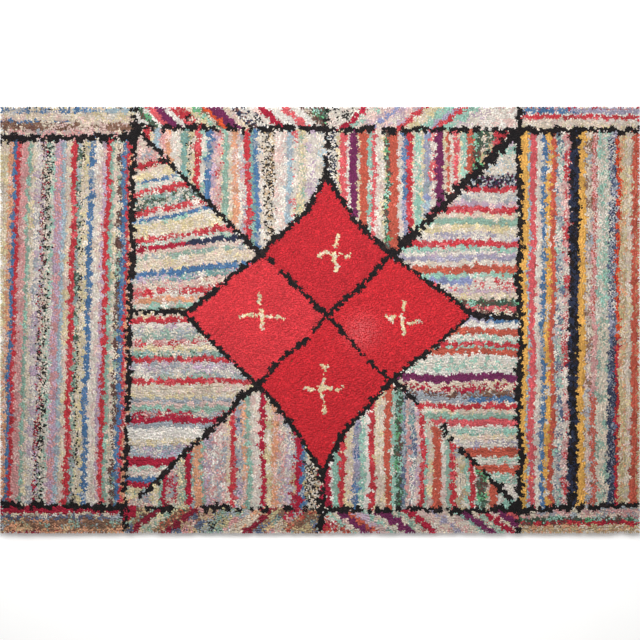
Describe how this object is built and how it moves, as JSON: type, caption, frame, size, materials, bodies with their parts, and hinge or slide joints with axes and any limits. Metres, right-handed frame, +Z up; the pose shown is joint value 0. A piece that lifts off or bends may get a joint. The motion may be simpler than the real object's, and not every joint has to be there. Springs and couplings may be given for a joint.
{
  "type": "hooked rug",
  "caption": "Flat rectangular hooked rug with a dense clipped rag pile in ridged rows, a quartered star in a square of striped fields and a striped panel at each end; it lies on a floor.",
  "frame": {"origin": "on the floor under the middle of the rug", "axes": "+X along the long side, +Y along the short side, +Z up out of the pile"},
  "size_m": [0.914, 0.61, 0.0135],
  "materials": {
    "rag_pile": "clipped multicolour rag pile, matt"
  },
  "bodies": {
    "root": {"rug": "rag_pile"}
  },
  "joints": []
}
